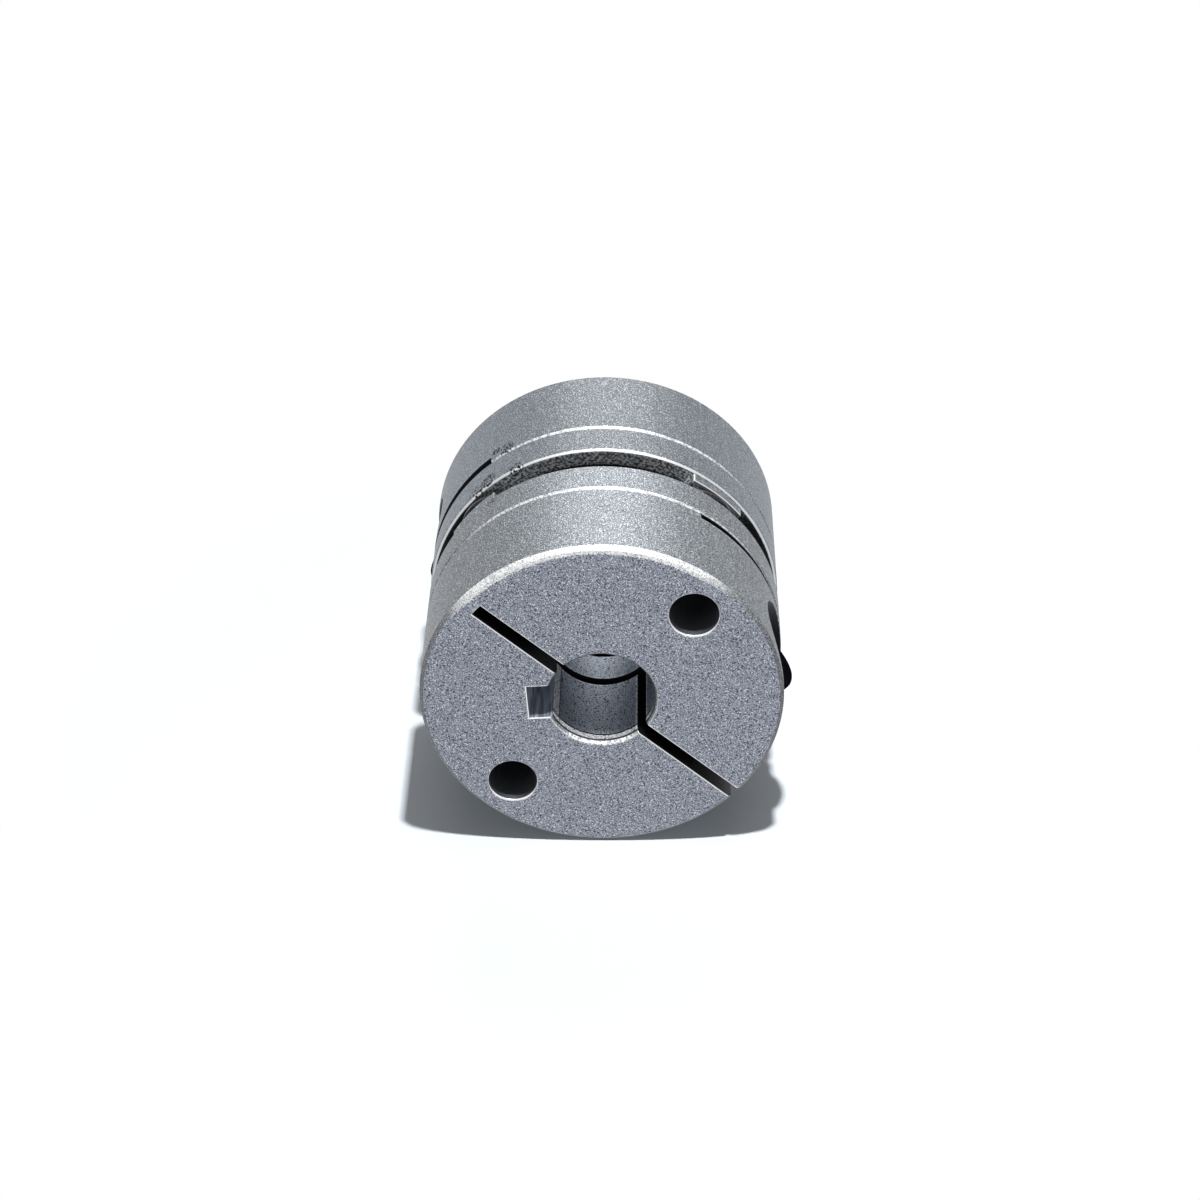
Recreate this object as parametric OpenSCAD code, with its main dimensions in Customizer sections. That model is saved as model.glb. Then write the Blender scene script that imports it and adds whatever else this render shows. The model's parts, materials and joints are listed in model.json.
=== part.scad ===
// Disc coupling with two clamp hubs and one thin steel disc between them.
// It stands on the outer face of the lower hub, with its axis along +Z.
// The upper hub is the lower hub turned over, a quarter turn round.

/* [Hubs] */
// Outer diameter of both hubs
hub_d = 34; // [33:0.5:40]
// Length of the split part that grips the shaft
clamp_len = 9.1; // [8.8:0.05:14]
// Height of the cross cut between the split part and the flange
cross_cut_h = 0.95; // [0.5:0.05:1.5]
// How far the cross cut runs past the axis
cross_cut_past = 2.5; // [1:0.1:4]
// Thickness of the flange behind the cross cut
flange_t = 3.95; // [3.5:0.05:6]
// Bevel round the outer face
outer_bevel = 0.4; // [0.2:0.05:0.8]
// Bevel round the inner face
inner_bevel = 0.25; // [0.1:0.05:0.4]
// Distance from the cross cut's middle to the groove turned round the hub
groove_off = 0.4; // [0:0.05:0.6]
// Width of that groove
groove_w = 0.5; // [0.3:0.05:0.8]
// Depth of the groove
groove_depth = 0.28; // [0.1:0.02:0.5]

/* [Bore and slot] */
// Diameter of the bore
bore_d = 10; // [6:0.5:11]
// Bevel at both ends of the bore
bore_bevel = 0.3; // [0.05:0.05:0.4]
// Width of the keyway
keyway_w = 3.6; // [2:0.1:4]
// Depth of the keyway, from the bore's wall
keyway_depth = 1.9; // [1:0.1:2.4]
// Width of the slot through the split part
slot_w = 1.2; // [0.8:0.1:1.5]
// Wall left between the slot's closed end and the rim
slot_wall = 1.8; // [1.2:0.1:3]

/* [Pads] */
// Width of the raised pads that carry the disc
pad_w = 6; // [4:0.1:7]
// Height of the pads over the inner face
pad_h = 1.25; // [0.9:0.05:2]
// Distance from the disc bolts to the pads' inner edge
pad_in = 3.6; // [2.5:0.1:3.8]

/* [Clamp screws] */
// Thread diameter of the clamp screws
clamp_screw_d = 4; // [3:0.5:4.5]
// Length of the clamp screws under the head
clamp_screw_len = 16; // [12:1:18]
// Diameter of the head
clamp_head_d = 7; // [6:0.1:7.2]
// Height of the head
clamp_head_h = 4; // [3:0.1:4.5]
// Width across flats of the hexagon socket
clamp_hex = 3; // [2:0.5:3]
// Depth of the hexagon socket
clamp_hex_depth = 2; // [1.2:0.1:2.5]
// Distance from the screw's axis to the hub's rim
clamp_screw_edge = 6.4; // [5.8:0.1:7]
// Distance from the screw's axis to the outer face
clamp_screw_z = 4.9; // [4.3:0.1:5]
// Distance from the middle of the slot to the head's seat
clamp_seat = 7.5; // [5:0.1:8]

/* [Disc] */
// Thickness of one leaf of the disc
leaf_t = 0.1; // [0.05:0.01:0.2]
// Radius of the disc's corners, round each bolt
leaf_corner_r = 3.4; // [2.8:0.1:3.9]
// Diameter of the opening in the middle of the disc
leaf_hole_d = 16.4; // [13:0.1:18]

/* [Disc bolts and collars] */
// Distance from the bolts' axes to the hub's rim
bolt_edge = 4.15; // [4:0.05:4.5]
// Thread diameter of the disc bolts
bolt_d = 2.5; // [2:0.1:3]
// Diameter of the bolt head
bolt_head_d = 4.5; // [4:0.1:5]
// Height of the bolt head
bolt_head_h = 2.5; // [1.5:0.1:3]
// Width across flats of the bolt's hexagon socket
bolt_hex = 2; // [1.5:0.1:2.2]
// Depth of the bolt's hexagon socket
bolt_hex_depth = 1.2; // [0.7:0.1:1.4]
// How far the bolt's tip stays short of the flange's far side
bolt_short = 0.65; // [0.2:0.05:1.2]
// Diameter of the collar between bolt head and disc
collar_d = 8; // [6:0.1:8.1]
// Thickness of the collar
collar_t = 0.6; // [0.3:0.05:0.8]
// Diameter of the collar's neck, which centres the leaves
neck_d = 3.6; // [3.4:0.1:4.4]

/* [Clearances] */
// All round a bolt head, in its access hole
head_clearance = 0.05; // [0.05:0.05:0.3]
// All round a clamp screw's head, in its pocket
pocket_clearance = 0.2; // [0.05:0.05:0.25]
// All round a clamp screw, in its plain hole
screw_clearance = 0.15; // [0.05:0.05:0.3]
// All round a disc bolt, in its collar
bolt_clearance = 0.1; // [0.05:0.05:0.15]
// All round a thread, in its tapped hole
thread_clearance = 0.05; // [0.02:0.01:0.1]
// All round a collar's neck, in the leaves
neck_clearance = 0.05; // [0.02:0.01:0.1]
// How far a collar's neck stays short of the pad
neck_short = 0.05; // [0.02:0.01:0.1]
// Bevel at the rims of bolts, screws and collars
edge_bevel = 0.15; // [0.05:0.05:0.25]

/* [Hidden] */
$fn = 96;

// Leaves in the disc, one node each
leaf_count = 3;
// Angle of the keyway from the slot's open side
keyway_angle = 135;
// Length that every cut runs past the surface it leaves through
past = 1;

hub_r = hub_d / 2;
bore_r = bore_d / 2;
flange_z = clamp_len + cross_cut_h;
groove_z = clamp_len + cross_cut_h / 2 + groove_off;
hub_len = flange_z + flange_t;
pack_t = leaf_count * leaf_t;
coupling_len = 2 * (hub_len + pad_h) + pack_t;
disc_z = coupling_len / 2;
bolt_r = hub_r - bolt_edge;
bolt_len = collar_t + pack_t + pad_h + flange_t - bolt_short;
leaf_side = bolt_r * sqrt(2);
clamp_x = hub_r - clamp_screw_edge;

aluminium = [0.72, 0.74, 0.76];
spring_steel = [0.62, 0.62, 0.6];
collar_steel = [0.7, 0.7, 0.68];
black_steel = [0.1, 0.1, 0.11];

// One hub is drawn with its outer face at z = 0 and its slot open towards +X
module turned_blank() {
    rotate_extrude()
        polygon([
            [bore_r + bore_bevel, 0],
            [hub_r - outer_bevel, 0],
            [hub_r, outer_bevel],
            [hub_r, groove_z - groove_w / 2],
            [hub_r - groove_depth, groove_z],
            [hub_r, groove_z + groove_w / 2],
            [hub_r, hub_len - inner_bevel],
            [hub_r - inner_bevel, hub_len],
            [bore_r + bore_bevel, hub_len],
            [bore_r, hub_len - bore_bevel],
            [bore_r, bore_bevel]
        ]);
}

// Both pads are one bar across the inner face, cleared in the middle
module pads() {
    rim_r = hub_r - inner_bevel;
    foot = flange_t / 2;
    difference() {
        intersection() {
            translate([-hub_r, -pad_w / 2, hub_len - foot])
                cube([hub_d, pad_w, pad_h + foot]);
            cylinder(r = rim_r, h = hub_len + pad_h);
        }
        translate([-(bolt_r - pad_in), -pad_w, hub_len - foot - past])
            cube([2 * (bolt_r - pad_in), 2 * pad_w, pad_h + foot + 2 * past]);
    }
}

module keyway_cut() {
    rotate([0, 0, keyway_angle])
        translate([0, -keyway_w / 2, -past])
            cube([bore_r + keyway_depth, keyway_w, hub_len + 2 * past]);
}

module slot_cut() {
    closed_end = hub_r - slot_wall;
    translate([-closed_end, -slot_w / 2, -past])
        cube([closed_end + hub_r + past, slot_w, flange_z + past]);
}

module cross_cut() {
    translate([-cross_cut_past, -hub_r - past, clamp_len])
        cube([cross_cut_past + hub_r + past, hub_d + 2 * past, cross_cut_h]);
}

module access_holes() {
    for (side = [-1, 1])
        translate([0, side * bolt_r, -past])
            cylinder(d = bolt_head_d + 2 * head_clearance, h = hub_len + 2 * past);
}

module bolt_holes() {
    for (side = [-1, 1])
        translate([side * bolt_r, 0, flange_z])
            cylinder(d = bolt_d + 2 * thread_clearance, h = flange_t + pad_h + past);
}

// The clamp screw lies along +Y with its head's seat at y = -clamp_seat
module clamp_screw_place() {
    translate([clamp_x, -clamp_seat, clamp_screw_z])
        rotate([-90, 0, 0])
            children();
}

module clamp_screw_holes() {
    clamp_screw_place() {
        translate([0, 0, -hub_r])
            cylinder(d = clamp_head_d + 2 * pocket_clearance, h = hub_r);
        cylinder(d = clamp_screw_d + 2 * screw_clearance, h = clamp_seat);
        cylinder(d = clamp_screw_d + 2 * thread_clearance, h = clamp_seat + hub_r + past);
    }
}

module hub() {
    color(aluminium)
        difference() {
            union() {
                turned_blank();
                pads();
            }
            keyway_cut();
            slot_cut();
            cross_cut();
            access_holes();
            bolt_holes();
            clamp_screw_holes();
        }
}

// Socket head screw, its head's seat at z = 0 and its thread along +Z
module cap_screw(d, len, head_d, head_h, hex, hex_depth) {
    color(black_steel)
        difference() {
            rotate_extrude()
                polygon([
                    [0, -head_h],
                    [head_d / 2 - edge_bevel, -head_h],
                    [head_d / 2, -head_h + edge_bevel],
                    [head_d / 2, 0],
                    [d / 2, 0],
                    [d / 2, len - edge_bevel],
                    [d / 2 - edge_bevel, len],
                    [0, len]
                ]);
            translate([0, 0, -head_h - past])
                cylinder(d = hex / cos(30), h = hex_depth + past, $fn = 6);
        }
}

module clamp_screw() {
    clamp_screw_place()
        cap_screw(clamp_screw_d, clamp_screw_len, clamp_head_d, clamp_head_h, clamp_hex, clamp_hex_depth);
}

// One leaf is a square with round corners over the four bolts
module leaf(number) {
    color(spring_steel)
        translate([0, 0, disc_z - pack_t / 2 + (number - 1) * leaf_t])
            linear_extrude(leaf_t)
                difference() {
                    leaf_outline();
                    circle(d = leaf_hole_d);
                    leaf_bolt_corners()
                        circle(d = neck_d + 2 * neck_clearance);
                }
}

module leaf_outline() {
    rotate(45) {
        square([leaf_side + 2 * leaf_corner_r, leaf_side], center = true);
        square([leaf_side, leaf_side + 2 * leaf_corner_r], center = true);
    }
    leaf_bolt_corners()
        circle(r = leaf_corner_r);
}

module leaf_bolt_corners() {
    for (corner = [0:3])
        rotate(90 * corner)
            translate([bolt_r, 0])
                children();
}

// Bolt and collar are drawn over the disc's middle, with the head upwards
module collar() {
    seat = pack_t / 2;
    hole_r = bolt_d / 2 + bolt_clearance;
    color(collar_steel)
        rotate_extrude()
            polygon([
                [hole_r, -seat + neck_short],
                [neck_d / 2, -seat + neck_short],
                [neck_d / 2, seat],
                [collar_d / 2 - edge_bevel, seat],
                [collar_d / 2, seat + edge_bevel],
                [collar_d / 2, seat + collar_t - edge_bevel],
                [collar_d / 2 - edge_bevel, seat + collar_t],
                [hole_r, seat + collar_t]
            ]);
}

module disc_bolt() {
    translate([0, 0, pack_t / 2 + collar_t])
        rotate([180, 0, 0])
            cap_screw(bolt_d, bolt_len, bolt_head_d, bolt_head_h, bolt_hex, bolt_hex_depth);
}

module lower_place() {
    rotate([0, 0, 90])
        children();
}

module upper_place() {
    translate([0, 0, coupling_len])
        rotate([0, 180, 0])
            children();
}

// Bolts along Y screw into the lower hub, those along X into the upper one
module y_bolt_place(side) {
    translate([0, side * bolt_r, disc_z])
        children();
}

module x_bolt_place(side) {
    translate([side * bolt_r, 0, disc_z])
        rotate([180, 0, 0])
            children();
}

lower_place() hub();  // lower_hub
upper_place() hub();  // upper_hub
lower_place() clamp_screw();  // lower_clamp_screw
upper_place() clamp_screw();  // upper_clamp_screw
leaf(1);  // disc_leaf_1
leaf(2);  // disc_leaf_2
leaf(3);  // disc_leaf_3
y_bolt_place(-1) collar();  // front_collar
y_bolt_place(1) collar();  // back_collar
x_bolt_place(-1) collar();  // left_collar
x_bolt_place(1) collar();  // right_collar
y_bolt_place(-1) disc_bolt();  // front_bolt
y_bolt_place(1) disc_bolt();  // back_bolt
x_bolt_place(-1) disc_bolt();  // left_bolt
x_bolt_place(1) disc_bolt();  // right_bolt
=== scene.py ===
import bmesh
import bpy
import json
import math
from mathutils import Matrix, Vector


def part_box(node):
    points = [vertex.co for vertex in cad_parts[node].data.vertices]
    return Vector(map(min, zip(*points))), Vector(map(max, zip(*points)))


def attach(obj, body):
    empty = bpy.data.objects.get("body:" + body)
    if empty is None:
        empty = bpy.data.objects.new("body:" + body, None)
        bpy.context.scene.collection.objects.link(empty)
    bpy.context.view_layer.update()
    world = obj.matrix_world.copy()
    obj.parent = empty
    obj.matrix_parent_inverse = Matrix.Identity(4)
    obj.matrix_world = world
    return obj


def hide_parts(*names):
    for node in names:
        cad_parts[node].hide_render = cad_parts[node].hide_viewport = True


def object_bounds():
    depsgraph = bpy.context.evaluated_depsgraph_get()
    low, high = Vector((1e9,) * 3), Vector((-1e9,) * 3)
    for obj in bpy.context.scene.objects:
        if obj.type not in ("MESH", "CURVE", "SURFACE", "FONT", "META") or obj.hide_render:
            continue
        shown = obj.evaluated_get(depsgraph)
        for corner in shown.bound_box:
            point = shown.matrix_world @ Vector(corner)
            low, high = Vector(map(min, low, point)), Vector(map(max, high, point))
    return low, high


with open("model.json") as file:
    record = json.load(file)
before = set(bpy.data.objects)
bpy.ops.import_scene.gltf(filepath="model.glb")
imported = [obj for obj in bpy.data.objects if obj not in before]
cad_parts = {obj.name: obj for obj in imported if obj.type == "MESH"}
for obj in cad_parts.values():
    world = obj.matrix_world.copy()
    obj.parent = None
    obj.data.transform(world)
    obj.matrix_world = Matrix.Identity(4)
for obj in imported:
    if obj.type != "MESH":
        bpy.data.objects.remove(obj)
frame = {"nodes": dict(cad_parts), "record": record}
cadLow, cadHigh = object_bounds()

mm = 0.001
couplingLength = cadHigh.z
hubRadius = cadHigh.x

# The photograph's own axes are x right, y away along the coupling's axis and z up,
# measured from the middle of the upper hub's face
photoTurn = math.radians(218.58)


def fromPhoto(x, y, z):
    turn = Matrix.Rotation(photoTurn, 3, "Z")
    return turn @ Vector((x, z, -y))


def pointFromPhoto(x, y, z):
    return fromPhoto(x, y, z) * mm + Vector((0, 0, couplingLength))


# Camera

cameraLook = {
    "lens": 82.89,
    "sensor": 36,
    "nearest": 0.01,  # m
    "eye": (-3.85, -206.46, 153.75),  # mm in the photograph's axes
    "yaw": 0.892,
    "pitch": 34.615,
    "roll": 3.018,
}


def makeCamera(look):
    yaw, pitch, roll = (math.radians(look[k]) for k in ("yaw", "pitch", "roll"))
    ahead = Vector((math.sin(yaw) * math.cos(pitch), math.cos(yaw) * math.cos(pitch), -math.sin(pitch)))
    side = Vector((math.cos(yaw), -math.sin(yaw), 0))
    top = side.cross(ahead)
    right = math.cos(roll) * side + math.sin(roll) * top
    up = math.cos(roll) * top - math.sin(roll) * side
    turn = Matrix((fromPhoto(*right), fromPhoto(*up), -fromPhoto(*ahead))).transposed()
    data = bpy.data.cameras.new("camera")
    data.lens = look["lens"]
    data.sensor_width = look["sensor"]
    data.clip_start = look["nearest"]
    made = bpy.data.objects.new("camera", data)
    bpy.context.collection.objects.link(made)
    made.matrix_world = Matrix.Translation(pointFromPhoto(*look["eye"])) @ turn.to_4x4()
    bpy.context.scene.camera = made


makeCamera(cameraLook)
bpy.context.scene.view_settings.view_transform = "Standard"
print("camera ready")


# Materials


class Field:  # a socket that carries a number, so that sums on it add Math nodes
    def __init__(self, finish, socket):
        self.finish = finish
        self.socket = socket

    def math(self, operation, first, second=None):
        inputs = {0: first} if second is None else {0: first, 1: second}
        made = self.finish.node("Math", {"operation": operation}, inputs)
        return Field(self.finish, made.outputs[0])

    def __neg__(self):
        return self.math("MULTIPLY", self, -1)

    def __add__(self, other):
        return self.math("ADD", self, other)

    def __radd__(self, other):
        return self.math("ADD", other, self)

    def __sub__(self, other):
        return self.math("SUBTRACT", self, other)

    def __rsub__(self, other):
        return self.math("SUBTRACT", other, self)

    def __mul__(self, other):
        return self.math("MULTIPLY", self, other)

    def __rmul__(self, other):
        return self.math("MULTIPLY", other, self)

    def __abs__(self):
        return self.math("ABSOLUTE", self)

    def sign(self):
        return self.math("SIGN", self)

    def larger(self, other):
        return self.math("MAXIMUM", self, other)

    def ramp(self, low, high):  # 0 below low, 1 above high
        settings = {"interpolation_type": "SMOOTHSTEP"}
        made = self.finish.node("MapRange", settings, {"Value": self, "From Min": low, "From Max": high})
        return Field(self.finish, made.outputs[0])

    def past(self, edge, soft=0.02):  # 1 past the edge
        return self.ramp(edge, edge + soft)

    def before(self, edge, soft=0.02):  # 1 before the edge
        return 1 - self.past(edge, soft)

    def band(self, low, high, soft):  # 1 between low and high
        return self.ramp(low - soft, low + soft) * (1 - self.ramp(high - soft, high + soft))


class Finish:  # one material, or the world, and the nodes in it
    def __init__(self, name, world=None):
        self.material = world or bpy.data.materials.new(name)
        self.material.use_nodes = True
        self.tree = self.material.node_tree
        self.tree.nodes.clear()
        self.output = self.node("OutputWorld" if world else "OutputMaterial")
        metres = self.node("TexCoord").outputs["Object"]
        inputs = {0: metres, "Scale": 1 / mm}
        self.place = self.node("VectorMath", {"operation": "SCALE"}, inputs).outputs[0]
        axes = self.node("SeparateXYZ", None, {0: self.place}).outputs
        self.x, self.y, self.z = (Field(self, axis) for axis in axes)
        upward, across = fromPhoto(0, 0, 1), fromPhoto(1, 0, 0)
        self.up = self.x * upward.x + self.y * upward.y  # height in the photograph, from the axis
        self.right = self.x * across.x + self.y * across.y

    def node(self, kind, settings=None, inputs=None):
        made = self.tree.nodes.new("ShaderNode" + kind)
        for key, value in (settings or {}).items():
            setattr(made, key, value)
        for key, value in (inputs or {}).items():
            self.feed(made.inputs[key], value)
        return made

    def feed(self, socket, value):
        source = value.socket if isinstance(value, Field) else value
        if isinstance(source, bpy.types.NodeSocket):
            self.tree.links.new(source, socket)
        elif isinstance(source, tuple) and socket.type == "RGBA":
            socket.default_value = (*source, 1)
        else:
            socket.default_value = source

    def rays(self):  # rays straight from the camera, and rays by way of metal or glass
        path = self.node("LightPath").outputs
        mirrored = Field(self, path["Is Glossy Ray"]).larger(Field(self, path["Is Transmission Ray"]))
        return Field(self, path["Is Camera Ray"]), mirrored

    def length(self, vector):
        made = self.node("VectorMath", {"operation": "LENGTH"}, {0: vector})
        return Field(self, made.outputs["Value"])

    def away(self, point):  # distance from a point, in mm
        made = self.node("VectorMath", {"operation": "DISTANCE"}, {0: self.place, 1: tuple(point)})
        return Field(self, made.outputs["Value"])

    def span(self, first, second):  # length of the vector with these two parts
        return self.length(self.node("CombineXYZ", None, {0: first, 1: second}).outputs[0])

    def stretched(self, share):  # the place, with its axes multiplied
        return self.node("VectorMath", {"operation": "MULTIPLY"}, {0: self.place, 1: share}).outputs[0]

    def shifted(self, step):  # the place, moved so that a noise there differs
        inputs = {0: self.place, 1: (step, step, step)}
        return self.node("VectorMath", {"operation": "ADD"}, inputs).outputs[0]

    def noise(self, grain, detail=2, where=None):  # grain is the size of a lump in mm
        inputs = {"Vector": where or self.place, "Scale": 1 / grain, "Detail": detail}
        return Field(self, self.node("TexNoise", None, inputs).outputs["Fac"])

    def spots(self, grain, where=None):  # distance from the nearest spot, in grains
        inputs = {"Vector": where or self.place, "Scale": 1 / grain}
        return Field(self, self.node("TexVoronoi", {"feature": "F1"}, inputs).outputs["Distance"])

    def blend(self, mask, first, second):
        inputs = {"Factor": mask, "A": first, "B": second}
        return self.node("Mix", {"data_type": "RGBA"}, inputs).outputs["Result"]

    def bump(self, height, strength, reach):  # reach is the height of 1, in mm
        inputs = {"Height": height, "Strength": strength, "Distance": reach * mm}
        return self.node("Bump", None, inputs).outputs[0]

    def close(self, colour, metallic, roughness, normal, shine=0.5, rim=(1, 1, 1)):
        inputs = {"Base Color": colour, "Metallic": metallic, "Roughness": roughness, "Normal": normal}
        inputs.update({"Specular IOR Level": shine, "Specular Tint": rim})
        shader = self.node("BsdfPrincipled", None, inputs)
        self.feed(self.output.inputs["Surface"], shader.outputs[0])
        return self.material


# One hub in mm, in its own axes: x towards the slot's open side, z in from the outer face.
# Round things are given by their radius, and the slot, keyway and pads by half their width
hubSize = {
    "length": 14,
    "rim": round(hubRadius / mm, 3),
    "bevel": 0.4,
    "bore": 5,
    "boreBevel": 0.3,
    "slot": 0.6,
    "slotEnd": 15.2,
    "cut": (9.1, 10.05),
    "cutPast": 2.5,
    "groove": (9.72, 10.24),
    "keyway": 1.8,
    "keywayDeep": 6.9,
    "hole": 2.3,
    "holeRing": 12.85,
    "holeHeight": 10.04,  # of both holes in the photograph, above or below the axis
    "pocket": 3.7,
    "screw": (10.6, 4.9),
    "pad": 3,
    "padHigh": 1.25,
    "padDeep": 0.7,
}
hubColours = {
    "face": (0.24, 0.265, 0.325),
    "barrel": (0.166, 0.182, 0.198),
    # the lower hub's barrel: painted shade on its top, painted light on its flanks
    "lowerTopPaintedShade": (0.108, 0.119, 0.130),
    "lowerFlankPaintedLight": (0.176, 0.197, 0.229),
    "light": (0.92, 0.96, 1.0),
    "dark": (0.02, 0.02, 0.024),
    # painted highlight along the broken edges
    "turned": (0.90, 0.91, 0.91),
    "smeared": (0.105, 0.109, 0.114),
    "lathed": (0.744, 0.768, 0.804),
    "bore": (0.43, 0.47, 0.545),
    "flangeBore": (0.45, 0.495, 0.56),
    "mouth": (0.34, 0.35, 0.37),
    "blasted": (0.95, 0.96, 0.97),
    # painted shade inside the slot and the cross cut
    "cut": (0.035, 0.036, 0.042),
    "hole": (0.22, 0.24, 0.27),
    "keyway": (0.62, 0.68, 0.79),
    # painted shade in the clamp screw's pocket
    "pocket": (0.05, 0.05, 0.06),
}
# How strongly light dots and dark pores and specks show, from 0 to 1
hubGrain = {
    "face": {"dots": 0.5, "pores": 0.75, "specks": 0.8},
    "upperBarrel": {"dots": 0.38, "pores": 0.75, "specks": 0.35},
    "lowerBarrel": {"dots": 0.281, "pores": 0.555, "specks": 0.35},
    "bore": {"dots": 0.5, "pores": 0.95, "specks": 0.9},
    "boreTopDots": 0.3,
    "sparks": 0.6,
}
# The blasted surface: sizes in mm, and the values of the noise over which a mark comes in
blasting = {
    "grain": 0.1,
    "waves": 0.5,
    "dot": 0.115,
    "dotsFrom": (0.57, 0.66),
    "poresFrom": (0.6, 0.66),
    "speckEvery": 0.5,
    "speckReach": (0.15, 0.24),
    "sparkEvery": 0.4,
    "sparkReach": (0.14, 0.22),
    "crumb": 0.24,
    "crumbsFrom": (0.42, 0.56),
    "relief": 0.02,
}
# Heights in mm over which a mark, a painted highlight or a painted shade comes in, measured from the axis
# in the photograph
heights = {
    "ragged": (9, 13),
    "rim": (10, 13.5),
    "rimShade": (7, 12.5),
    "groove": (8, 14),
    "innerFace": (9, 13),
    "boreEdge": (-4.8, -3.2),
    "boreCrumbs": (-5.2, -3.6),
    "boreTop": (4.4, 4.9),
    "holeBelow": (-2.2, -0.6),
    "paintedFlankShading": (3, 14),  # to the right and left, not up
}
# How strongly the painted highlight on each broken edge shows, or for rimShade its painted shade, and how
# far they reach from a cut in mm
edges = {
    "back": 0.55,
    "pad": 0.7,
    "slot": 0.8,
    "cut": 0.3,
    "boreRing": 0.35,
    "rimShade": 0.4,
    "reach": 0.09,
}
# Pits lie where the photograph shows them: place in its axes, radius, both in mm, and darkness
hubPits = [
    ((11.47, 11.26, 12.55), 0.16, 0.6), ((-13.09, 10.58, 10.84), 0.14, 0.6),
    ((-13.26, 10.21, 10.64), 0.12, 0.5), ((-2.12, 7.97, -4.53), 0.15, 0.8),
    ((-1.77, 8.16, -4.68), 0.12, 0.7), ((-0.39, 7.33, -4.98), 0.15, 0.8),
    ((1.77, 7.88, -4.68), 0.13, 0.7), ((1.7, 6.75, -4.7), 0.13, 0.7),
    ((-0.4, 5.23, -4.98), 0.15, 0.8), ((-1.16, 5.25, -4.86), 0.11, 0.7),
    ((1.4, 4.22, -4.8), 0.13, 0.7), ((0.14, 3.97, -5.0), 0.13, 0.6),
    ((-1.83, 6.6, -4.65), 0.12, 0.6), ((-2.45, 5.0, -4.36), 0.13, 0.6),
    ((2.37, 4.3, -4.4), 0.13, 0.6),
]
# Scuffs: place and reach in mm, and the share of the patch that is marked
hubScuffs = [
    ((-11.68, 17.76, 12.35), 0.9, 0.54), ((-11.1, 22.2, 12.9), 0.5, 0.6),
    ((-10.1, 21.6, 13.7), 0.8, 0.54), ((-9.1, 16.9, 14.36), 0.8, 0.5),
    ((-12.79, 17.4, 11.2), 0.9, 0.5), ((-11.19, 13.2, 12.8), 0.5, 0.52),
]


class HubFinish(Finish):  # in one hub's own axes, with what several of its marks need
    def __init__(self, name, upper):
        super().__init__(name)
        size = hubSize
        self.out = self.length(self.stretched((1, 1, 0)))  # from the axis
        if upper:
            self.x = -self.x
            self.z = couplingLength / mm - self.z
        else:
            self.x, self.y = self.y, -self.x
        self.upper = upper

        # Surfaces
        self.face = self.z.before(0.03, 0.03)
        self.barrel = self.out.past(size["rim"] - 0.05, 0.03)
        self.wall = self.out.before(size["bore"] + 0.02, 0.03) * self.z.past(size["boreBevel"] - 0.02, 0.04)

        # Grain of the blasted surface
        look = blasting
        self.grain = self.noise(look["grain"], 1)
        self.waves = self.noise(look["waves"], 2)
        self.dots = self.noise(look["dot"], 0).ramp(*look["dotsFrom"])
        self.pores = self.noise(look["dot"], 0, self.shifted(31)).ramp(*look["poresFrom"])
        self.specks = 1 - self.spots(look["speckEvery"], self.shifted(17)).ramp(*look["speckReach"])
        self.broken = self.noise(look["crumb"], 2, self.shifted(5)).ramp(*look["crumbsFrom"])

        # Distances from the cuts' walls, in mm and below 0 inside
        low, high = size["cut"]
        across = abs(self.x + self.y) * math.sqrt(0.5)
        self.along = (self.y - self.x) * math.sqrt(0.5)  # out towards the keyway's floor
        self.slotAway = abs(self.y) - size["slot"]
        self.cutAway = abs(self.z - (low + high) / 2) - (high - low) / 2
        self.keywayAway = (across - size["keyway"]).larger(self.along - size["keywayDeep"])
        self.holeAway = self.span(self.x, abs(self.y) - size["holeRing"]) - size["hole"]

    def grained(self, share, colour):
        colour = self.blend(self.dots * share["dots"], colour, hubColours["light"])
        marked = (self.pores * share["pores"]).larger(self.specks * share["specks"])
        return self.blend(marked, colour, hubColours["dark"])


def blastedColour(hub):
    sparks = 1 - hub.spots(blasting["sparkEvery"]).ramp(*blasting["sparkReach"])
    face = hub.grained(hubGrain["face"], hubColours["face"])
    face = hub.blend(sparks * hubGrain["sparks"], face, hubColours["light"])
    if hub.upper:
        barrel = hub.grained(hubGrain["upperBarrel"], hubColours["barrel"])
    else:
        # painted shade on the lower barrel's top, lighter towards its flanks
        paintedFlankShading = abs(hub.right).ramp(*heights["paintedFlankShading"])
        barrel = hub.blend(paintedFlankShading, hubColours["lowerTopPaintedShade"], hubColours["lowerFlankPaintedLight"])
        barrel = hub.grained(hubGrain["lowerBarrel"], barrel)
    return hub.blend(hub.face, barrel, face)


# Painted highlights on broken edges and bevels. Each is painted where light from above the photographed
# side meets it


def rimEdge(hub):
    start, bevel = hubSize["rim"] - hubSize["bevel"], hubSize["bevel"]
    lit = hub.up - 0.15 * hub.right
    ragged = hub.noise(0.2, 2) * 0.85 * lit.ramp(*heights["ragged"])
    edge = (hub.out + ragged).past(start + 0.02, 0.08) * hub.z.before(bevel - 0.02, 0.04)
    edge = edge * (0.08 + 0.92 * lit.ramp(*heights["rim"]))
    return edge * (0.6 + 0.4 * hub.broken) * (1 - 0.6 * hub.pores)


def rimShade(hub):  # the same bevel, dark below
    start, bevel = hubSize["rim"] - hubSize["bevel"], hubSize["bevel"]
    edge = hub.out.past(start, 0.04) * hub.z.before(bevel - 0.02)
    return edge * (1 - hub.up.ramp(*heights["rimShade"])) * edges["rimShade"]


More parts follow.
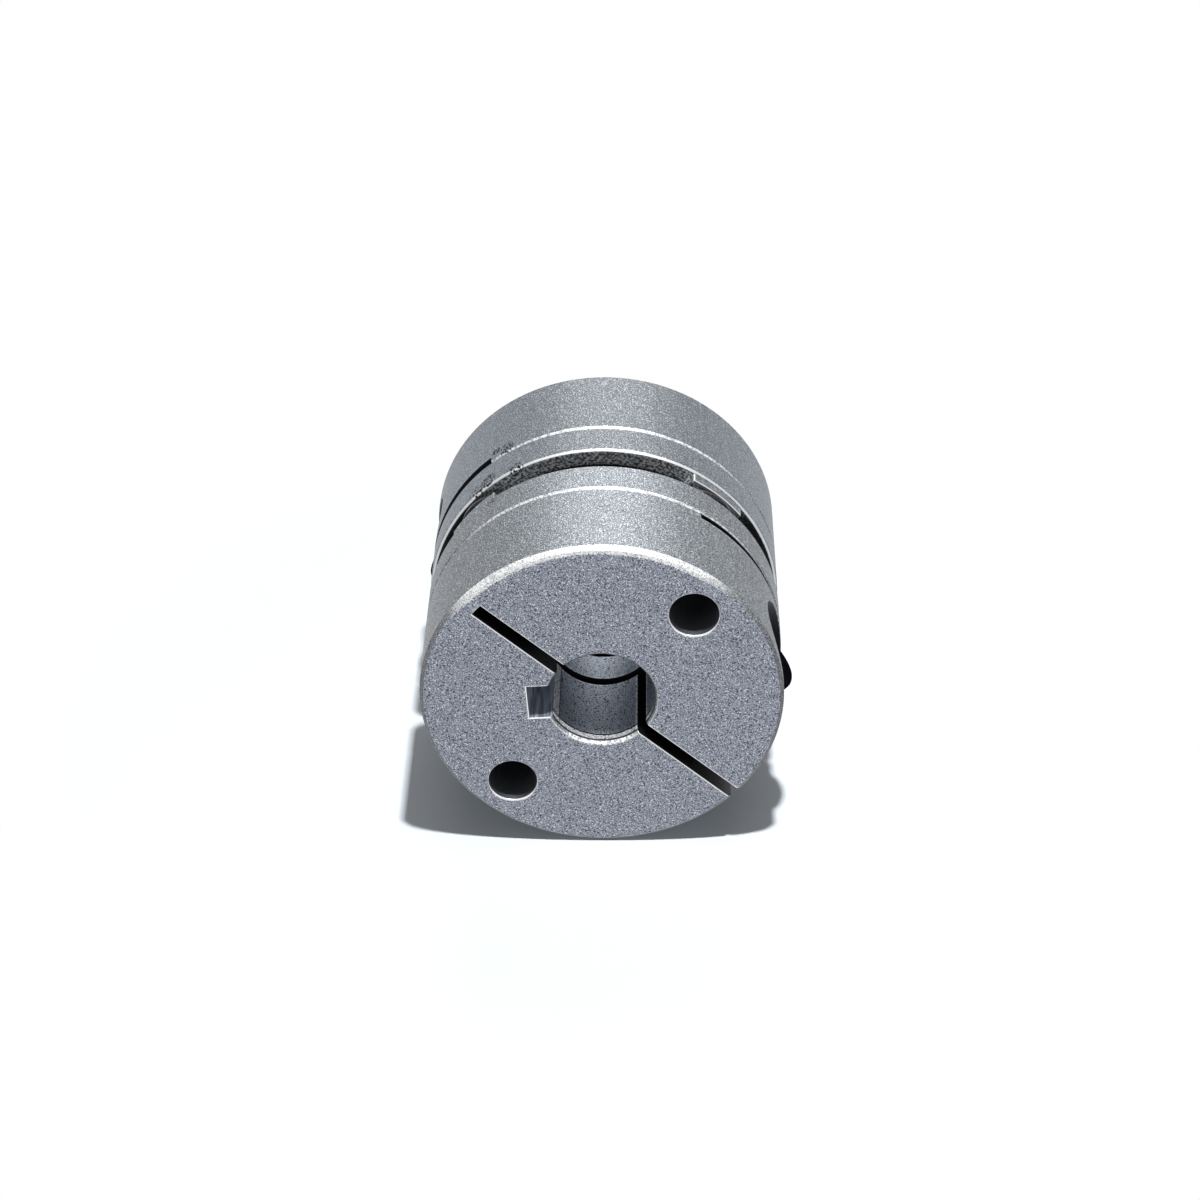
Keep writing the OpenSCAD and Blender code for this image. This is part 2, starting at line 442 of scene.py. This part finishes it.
def boreEdge(hub):
    mouth = hubSize["bore"] + hubSize["boreBevel"]
    bevel = (hub.out - hub.grain * 0.16).before(mouth - 0.06, 0.06)
    bevel = bevel * hub.z.before(hubSize["boreBevel"] - 0.02)
    ring = hub.out.band(mouth - 0.1, mouth, 0.02) * hub.face.larger(bevel)
    crumbs = hub.out.band(mouth - 0.05, mouth + 0.14, 0.04) * hub.face * hub.grain.ramp(0.4, 0.55)
    edge = bevel.larger(crumbs * (1 - hub.up.ramp(*heights["boreCrumbs"])))
    edge = edge * (1 - hub.up.ramp(*heights["boreEdge"])) * (0.2 + 0.8 * hub.broken)
    return edge.larger(ring * edges["boreRing"])


def backEdge(hub):
    inner = hubSize["length"]
    edge = hub.z.band(inner - 0.18, inner - 0.02, 0.02) * hub.out.past(hubSize["rim"] - 0.3, 0.04)
    return edge * edges["back"]


def grooveEdge(hub):
    rim = hubSize["rim"]
    edge = hub.z.band(*hubSize["groove"], 0.02) * (1 - hub.barrel) * hub.out.past(rim - 0.4, 0.05)
    return edge * hub.up.ramp(*heights["groove"]) * (0.2 + 0.5 * hub.broken)


def padEdge(hub):
    inner, start = hubSize["length"], hubSize["rim"] - hubSize["padDeep"]
    side = abs(hub.y).past(hubSize["pad"] - 0.16, 0.04)
    top = (hub.z - inner).past(hubSize["padHigh"] - 0.14, 0.04)
    outside = hub.z.past(inner + 0.04, 0.04) * hub.out.past(start - 0.05, 0.05)
    return side.larger(top) * outside * hub.right.ramp(0, 2) * edges["pad"]


def slotEdge(hub):
    inSlot = hub.x.past(-hubSize["slotEnd"] - edges["reach"]) * hub.out.past(hubSize["bore"])
    return hub.slotAway.before(edges["reach"], 0.05) * inSlot * hub.face * edges["slot"]


def keywayEdge(hub):
    return hub.keywayAway.before(edges["reach"], 0.05) * hub.along.past(4.5, 0.1) * hub.face


def holeEdge(hub):
    fromMiddle = hub.up - hub.up.sign() * hubSize["holeHeight"]
    below = 1 - fromMiddle.ramp(*heights["holeBelow"])
    wavy = hub.holeAway - below * (hub.grain * 0.36 - 0.06)
    return wavy.before(edges["reach"] - 0.03, 0.03) * hub.face * (0.45 + 0.55 * below)


def cutEdge(hub):
    inCut = hub.x.past(-hubSize["cutPast"] - edges["reach"])
    return hub.cutAway.band(0.08, 0.16, 0.02) * inCut * hub.barrel * edges["cut"]


def innerFace(hub, colour):  # smeared by the tool, with painted shade towards the bore and the underside
    inner, rim = hubSize["length"], hubSize["rim"]
    rings = hub.noise(0.12, 1, hub.node("CombineXYZ", None, {0: hub.out}).outputs[0]).ramp(0.4, 0.6)
    smears = (hub.noise(0.28, 3, hub.shifted(7)) * 0.88 + rings * 0.12).ramp(0.42, 0.6)
    lathed = hub.blend(smears, hubColours["smeared"], hubColours["lathed"])
    lit = (0.03 + 0.97 * hub.up.ramp(*heights["innerFace"])) * hub.out.band(15.35, rim - 0.25, 0.08)
    lathed = hub.blend(lit, hubColours["dark"], lathed)
    padSide = hub.out.past(rim - hubSize["padDeep"], 0.1) * hub.z.past(inner + 0.05, 0.05)
    return hub.blend(hub.z.past(inner - 0.02) * (1 - hub.barrel.larger(padSide)), colour, lathed)


boreMarks = {
    "mouth": 1.18,  # mm in, where the blasted band ends
    "nearKeyway": (1.795, 1.99),  # blasted strips, in radians round the bore from the slot's open side
    "nearSlot": (0.12, 0.165),
    "stripSoft": 0.008,
}


def boreBands(hub, uneven, angle):  # where the blasted mouth is, and where the two strips are
    soft = boreMarks["stripSoft"]
    nearKeyway = angle.band(*boreMarks["nearKeyway"], soft)
    nearSlot = abs(angle).band(*boreMarks["nearSlot"], soft)
    return uneven.before(boreMarks["mouth"]), nearKeyway.larger(nearSlot)


def boreColour(hub, uneven, angle, mouth, strips):  # blasted at the mouth, burnished further in
    beyond = hub.z.past(hubSize["cut"][1], 0.1)
    colour = hub.blend(beyond, hubColours["bore"], hubColours["flangeBore"])
    colour = hub.blend(strips * (1 - mouth), colour, hubColours["blasted"])
    colour = hub.blend(mouth, colour, hubColours["mouth"])
    # painted highlight along the cross cut's edges in the bore
    colour = hub.blend(hub.cutAway.band(0.04, 0.2, 0.02) * 0.5, colour, hubColours["light"])
    share = dict(hubGrain["bore"])
    share["dots"] += hubGrain["boreTopDots"] * beyond * hub.up.ramp(*heights["boreTop"])
    colour = hub.grained(share, colour)
    lines = uneven.band(1.2, 1.42, 0.02).larger(angle.band(1.77, 1.79, 0.006))
    return hub.blend(lines * (1 - beyond) * 0.95, colour, hubColours["dark"])


def cutColours(hub, colour):  # clamp screw's pocket, keyway, access holes, slot and cross cut; painted shade darkens the pocket, the slot and the cross cut
    size = hubSize
    screwX, screwZ = size["screw"]
    pocket = hub.span(hub.x - screwX, hub.z - screwZ).before(size["pocket"] + 0.01)
    # painted shade in the pocket
    colour = hub.blend(pocket * hub.out.before(size["rim"] - 0.12, 0.07), colour, hubColours["pocket"])
    inside = hub.z.band(0.04, size["length"] - 0.02, 0.02)
    keyway = hub.keywayAway.before(0) * hub.along.past(4.7) * inside
    drawn = hub.noise(0.25, 1, hub.stretched((1, 1, 0.06))).ramp(0.4, 0.6)
    colour = hub.blend(keyway, colour, hub.blend(drawn * 0.5, hubColours["keyway"], hubColours["dark"]))
    colour = hub.blend(hub.holeAway.before(0) * hub.z.past(0.04, 0.06), colour, hubColours["hole"])
    slot = hub.slotAway.before(0.01) * hub.out.past(size["bore"], 0.06)
    slot = slot * hub.x.past(0.05 - size["slotEnd"], 0.05) * hub.z.before(size["cut"][1] - 0.02, 0.04)
    cut = hub.cutAway.before(0.03, 0.03) * hub.x.past(-size["cutPast"] - 0.02)
    # painted shade in the slot and the cross cut
    return hub.blend(slot.larger(cut), colour, hubColours["cut"])


def markedColour(hub, colour):
    for place, reach, dark in hubPits:
        away = hub.away(pointFromPhoto(*place) / mm) + hub.grain * 0.12
        colour = hub.blend((1 - away.ramp(reach, reach * 1.6)) * dark, colour, hubColours["dark"])
    flecks = hub.noise(0.25, 1, hub.shifted(11))
    for place, reach, share in hubScuffs:
        patch = 1 - hub.away(pointFromPhoto(*place) / mm).ramp(reach * 0.6, reach * 1.2)
        scuff = flecks.past(1.03 - share, 0.03) * patch.ramp(0, 0.4)
        colour = hub.blend(scuff, colour, hubColours["dark"])
    return colour


def hubFinish(name, upper):
    hub = HubFinish(name, upper)
    boreLipHighlight = boreEdge(hub)
    # painted highlights along the broken edges and the bore's lip, which are also smoother
    turned = rimEdge(hub).larger(boreLipHighlight)
    for edge in (backEdge, grooveEdge, padEdge, slotEdge, keywayEdge, holeEdge, cutEdge):
        turned = turned.larger(edge(hub))
    colour = hub.blend(rimShade(hub), blastedColour(hub), hubColours["dark"])
    colour = hub.blend(turned, colour, hubColours["turned"])
    colour = innerFace(hub, colour)
    uneven = hub.z + hub.waves * 0.3
    angle = hub.y.math("ARCTAN2", hub.y, hub.x)
    mouth, strips = boreBands(hub, uneven, angle)
    colour = hub.blend(hub.wall, colour, boreColour(hub, uneven, angle, mouth, strips))
    mouthLine = hub.z.band(0.24, 0.44, 0.03) * hub.out.before(hubSize["bore"] + 0.1, 0.04)
    colour = hub.blend(mouthLine, colour, hubColours["dark"])
    colour = markedColour(hub, cutColours(hub, colour))
    roughness = 0.28 + 0.2 * (1 - turned) + 0.1 * (hub.grain - 0.5) + 0.2 * hub.wall * mouth
    normal = hub.bump(hub.grain * (1 - 0.7 * turned) + hub.waves * 0.4, 0.6, blasting["relief"])
    metallic = 1 - 0.6 * (hub.wall * mouth.larger(strips)).larger(boreLipHighlight)
    return hub.close(colour, metallic, roughness, normal)


blackOxide = {
    "base": (0.008, 0.008, 0.01),
    "worn": (0.05, 0.05, 0.056),
    "roughness": 0.5,
    "shine": 0.05,
    "rim": (0.12, 0.12, 0.12),
}


def screwFinish(name, look):
    finish = Finish(name)
    grain = finish.noise(0.15, 3)
    colour = finish.blend(grain.ramp(0.55, 0.75), look["base"], look["worn"])
    roughness = look["roughness"] + 0.2 * (grain - 0.5)
    normal = finish.bump(grain, 0.3, 0.01)
    return finish.close(colour, 1.0, roughness, normal, look["shine"], look["rim"])


springSteel = {"base": (0.1, 0.105, 0.11), "light": (0.36, 0.36, 0.37), "roughness": 0.3}
# the collars' near-black colour is painted shade of the gap between the hubs
collarSteelPaintedShade = {"base": (0.02, 0.02, 0.024), "light": (0.05, 0.05, 0.055), "roughness": 0.3}


def steelFinish(name, look):
    finish = Finish(name)
    grain = finish.noise(0.3, 3)
    colour = finish.blend(grain.ramp(0.4, 0.6), look["base"], look["light"])
    roughness = look["roughness"] + 0.1 * (grain - 0.5)
    return finish.close(colour, 1.0, roughness, finish.bump(grain, 0.2, 0.005))


finishes = {
    "upper_hub": hubFinish("hub_aluminium upper", True),
    "lower_hub": hubFinish("hub_aluminium lower", False),
    "screw_steel": screwFinish("screw_steel", blackOxide),
    "leaf_steel": steelFinish("leaf_steel", springSteel),
    "collar_steel": steelFinish("collar_steel", collarSteelPaintedShade),
}
slotOf = {part["node"]: part["material_slot"] for part in frame["record"]["subparts"]}


def finishOf(node):
    return finishes.get(node) or finishes[slotOf[node]]


for name, node in frame["nodes"].items():
    for place in node.material_slots:
        place.material = finishOf(name)
print("materials ready")


# Pieces


def addPiece(name, mesh, node):
    piece = bpy.data.objects.new(name, mesh)
    bpy.context.collection.objects.link(piece)
    mesh.materials.clear()
    mesh.materials.append(finishOf(node))
    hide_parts(node)
    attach(piece, "root")
    return piece


def smoothBelow(body, degrees):  # shades smooth, but for edges sharper than this
    for edge in body.edges:
        edge.smooth = edge.calc_face_angle(0) < math.radians(degrees)
    for face in body.faces:
        face.smooth = True


hubEdges = {
    "width": 0.08,  # mm
    "steps": 2,
    "sharp": 28,  # degrees from which an edge is broken
    "flat": 0.3,  # degrees under which two faces become one
    "weld": 0.001,  # mm
}


def makeHub(node, look):  # the CAD hub with its sharp edges broken
    mesh = frame["nodes"][node].data.copy()
    body = bmesh.new()
    body.from_mesh(mesh)
    bmesh.ops.remove_doubles(body, verts=body.verts, dist=look["weld"] * mm)
    flat = math.radians(look["flat"])
    bmesh.ops.dissolve_limit(body, angle_limit=flat, verts=body.verts, edges=body.edges)
    smoothBelow(body, look["sharp"])
    body.to_mesh(mesh)
    body.free()
    piece = addPiece(node + "_edged", mesh, node)
    bevel = piece.modifiers.new("edges", "BEVEL")
    bevel.width = look["width"] * mm
    bevel.segments = look["steps"]
    bevel.limit_method = "ANGLE"
    bevel.angle_limit = math.radians(look["sharp"])
    bevel.use_clamp_overlap = False
    bevel.harden_normals = True


for node in ("upper_hub", "lower_hub"):
    makeHub(node, hubEdges)
print("hubs ready")

# Screws, in mm. Hexagons are measured across their flats, and turn is how they stand, in degrees
clampScrew = {
    "thread": 4,
    "pitch": 0.7,
    "head": 7,
    "headHeight": 4,
    "hexagon": 3,
    "hexagonDeep": 2,
    "ridges": 54,
    "ridge": 0.13,
    "turn": 11,
}
discBolt = {
    "thread": 2.5,
    "pitch": 0.45,
    "head": 4.5,
    "headHeight": 2.5,
    "hexagon": 2,
    "hexagonDeep": 1.2,
    "ridges": 40,
    "ridge": 0.09,
    "turn": 17,
}
screwShape = {
    "drillTip": 0.35,  # how far the socket's floor dips
    "pole": 0.01,  # radius of the ring that closes an end
    "threadDeep": 0.54,  # in pitches
    "tip": 0.35,  # chamfer at the thread's end
    "stepsPerTurn": 8,
    "pointsPerRidge": 6,
    "sharp": 32,  # degrees
}


def hexagonRadius(width, angle):
    return width / 2 / math.cos((angle + math.pi / 6) % (math.pi / 3) - math.pi / 6)


def screwRings(look, length):  # every ring is a height and a function that gives the radius at an angle
    shape = screwShape
    top, head, core = -look["headHeight"], look["head"] / 2, look["thread"] / 2

    def plain(radius):
        return lambda angle: radius

    def knurled(angle):
        return head - look["ridge"] * (0.5 - 0.5 * math.cos(look["ridges"] * angle))

    def socket(share):
        return lambda angle: share * hexagonRadius(look["hexagon"], angle)

    def threaded(z):
        def radius(angle):
            turn = (z / look["pitch"] - angle / math.tau) % 1
            deep = shape["threadDeep"] * look["pitch"] * min(1, 2.4 * abs(turn - 0.5))
            started = min(1, max(0, (z - 0.3) / look["pitch"]))
            return core - deep * started - max(0, z - length + shape["tip"])
        return radius

    rings = [
        (top + look["hexagonDeep"] + shape["drillTip"], plain(shape["pole"])),
        (top + look["hexagonDeep"], socket(1)),
        (top + 0.1, socket(1)),
        (top, socket(1.06)),
        (top, plain(head - 0.75)),
        (top + 0.02, plain(head - 0.45)),
        (top + 0.14, plain(head - 0.2)),
        (top + 0.3, plain(head - 0.08)),
        (top + 0.42, plain(head - 0.02)),
        (top + 0.6, knurled),
        (-0.3, knurled),
        (-0.16, plain(head - 0.05)),
        (0, plain(head - 0.15)),
        (0, plain(core)),
    ]
    steps = int(length / look["pitch"] * shape["stepsPerTurn"])
    for k in range(steps):
        z = length * (k + 1) / steps
        rings.append((z, threaded(z)))
    rings.append((length, plain(shape["pole"])))
    return rings


def makeScrew(node, look, ahead):  # ahead points from the head to the tip
    low, high = (Vector(corner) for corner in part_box(node))
    ahead = Vector(ahead)
    total = abs((high - low).dot(ahead)) / mm
    seat = (low + high) / 2 - ahead * (total / 2 - look["headHeight"]) * mm
    rings = screwRings(look, total - look["headHeight"])
    around = look["ridges"] * screwShape["pointsPerRidge"]
    spin = Matrix.Rotation(math.radians(look["turn"]), 3, "Z")
    turn = ahead.to_track_quat("Z", "Y").to_matrix() @ spin
    corners = []
    for z, radius in rings:
        for k in range(around):
            angle = math.tau * k / around
            r = radius(angle)
            corners.append(seat + turn @ Vector((r * math.cos(angle), r * math.sin(angle), z)) * mm)
    faces = []
    for ring in range(len(rings) - 1):
        for k in range(around):
            a, b = ring * around + k, ring * around + (k + 1) % around
            faces.append((a, b, b + around, a + around))
    faces.append(tuple(reversed(range(around))))
    faces.append(tuple(range(len(corners) - around, len(corners))))
    mesh = bpy.data.meshes.new(node + "_cut")
    mesh.from_pydata(corners, [], faces)
    body = bmesh.new()
    body.from_mesh(mesh)
    bmesh.ops.recalc_face_normals(body, faces=body.faces)
    smoothBelow(body, screwShape["sharp"])
    body.to_mesh(mesh)
    body.free()
    addPiece(node + "_cut", mesh, node)


makeScrew("upper_clamp_screw", clampScrew, (0, 1, 0))
makeScrew("lower_clamp_screw", clampScrew, (-1, 0, 0))
for node in ("front_bolt", "back_bolt"):
    makeScrew(node, discBolt, (0, 0, -1))
for node in ("left_bolt", "right_bolt"):
    makeScrew(node, discBolt, (0, 0, 1))
print("screws ready")


# Floor and light. In the photograph the coupling lies on its side

floorLook = {
    "half": 0.7,  # m
    "lean": 3,  # degrees
    "below": 0.02,  # mm under the coupling's side
    "colour": (0.61, 0.65, 0.685),
    "mottle": (0.5, 0.5, 0.5),
    "mottled": 0.06,
    "near": (36, 60),  # mm from the coupling, plain floor within and white beyond
}


def floorFinish(look, middle):
    finish = Finish("floor")
    colour = finish.blend(finish.noise(3, 3) * look["mottled"], look["colour"], look["mottle"])
    diffuse = finish.node("BsdfDiffuse", None, {"Color": colour})
    white = finish.node("Emission", None, {"Color": (1, 1, 1), "Strength": 1})
    clear = finish.node("BsdfTransparent")
    fromCamera, mirrored = finish.rays()
    shown = (finish.away(middle / mm).ramp(*look["near"]) * fromCamera).larger(mirrored)
    top = finish.node("MixShader", None, {"Fac": shown, 1: diffuse.outputs[0], 2: white.outputs[0]})
    behind = finish.node("NewGeometry").outputs["Backfacing"]
    whole = finish.node("MixShader", None, {"Fac": behind, 1: top.outputs[0], 2: clear.outputs[0]})
    finish.feed(finish.output.inputs["Surface"], whole.outputs[0])
    return finish.material


def makeFloor(look):
    half, lean = look["half"], math.radians(look["lean"])
    down = -hubRadius / mm - look["below"]
    middle = pointFromPhoto(-math.sin(lean) * down, 15, math.cos(lean) * down)
    corners = [(-half, -half), (half, -half), (half, half), (-half, half)]
    places = [middle + fromPhoto(x * math.cos(lean), y, x * math.sin(lean)) for x, y in corners]
    mesh = bpy.data.meshes.new("floor")
    mesh.from_pydata(places, [], [(0, 1, 2, 3)])
    mesh.materials.append(floorFinish(look, middle))
    floor = bpy.data.objects.new("floor", mesh)
    bpy.context.collection.objects.link(floor)


# Lamps: place in mm in the photograph's axes, size in m, power in W
lights = {
    "overhead": {"from": (8, -36, 260), "size": (0.012, 0.012), "power": 1.08},
    "front": {"from": (0, -180, 260), "size": (0.7, 0.25), "power": 0.12},
    "back": {"from": (0, 300, 210), "size": (0.22, 0.3), "power": 0.52},
}


def makeLight(name, look):
    data = bpy.data.lights.new(name, "AREA")
    data.energy = look["power"]
    data.shape = "RECTANGLE"
    data.size, data.size_y = look["size"]
    lamp = bpy.data.objects.new(name, data)
    bpy.context.collection.objects.link(lamp)
    lamp.location = pointFromPhoto(*look["from"])
    back = (lamp.location - Vector((0, 0, couplingLength / 2))).normalized()
    side = fromPhoto(1, 0, 0)
    side = (side - back * side.dot(back)).normalized()
    lamp.rotation_euler = Matrix((side, back.cross(side), back)).transposed().to_euler()


worldLook = {"strength": 0.15}


def makeWorld(look):  # white to the camera and to metal, and weaker as light
    world = bpy.data.worlds.new("world")
    bpy.context.scene.world = world
    finish = Finish("world", world)
    fromCamera, mirrored = finish.rays()
    light = finish.node("Background", None, {"Color": (1, 1, 1), "Strength": look["strength"]})
    white = finish.node("Background", None, {"Color": (1, 1, 1), "Strength": 1})
    inputs = {"Fac": fromCamera.larger(mirrored), 1: light.outputs[0], 2: white.outputs[0]}
    both = finish.node("MixShader", None, inputs)
    finish.feed(finish.output.inputs["Surface"], both.outputs[0])


makeFloor(floorLook)
for name, look in lights.items():
    makeLight(name, look)
makeWorld(worldLook)
print("stage ready")
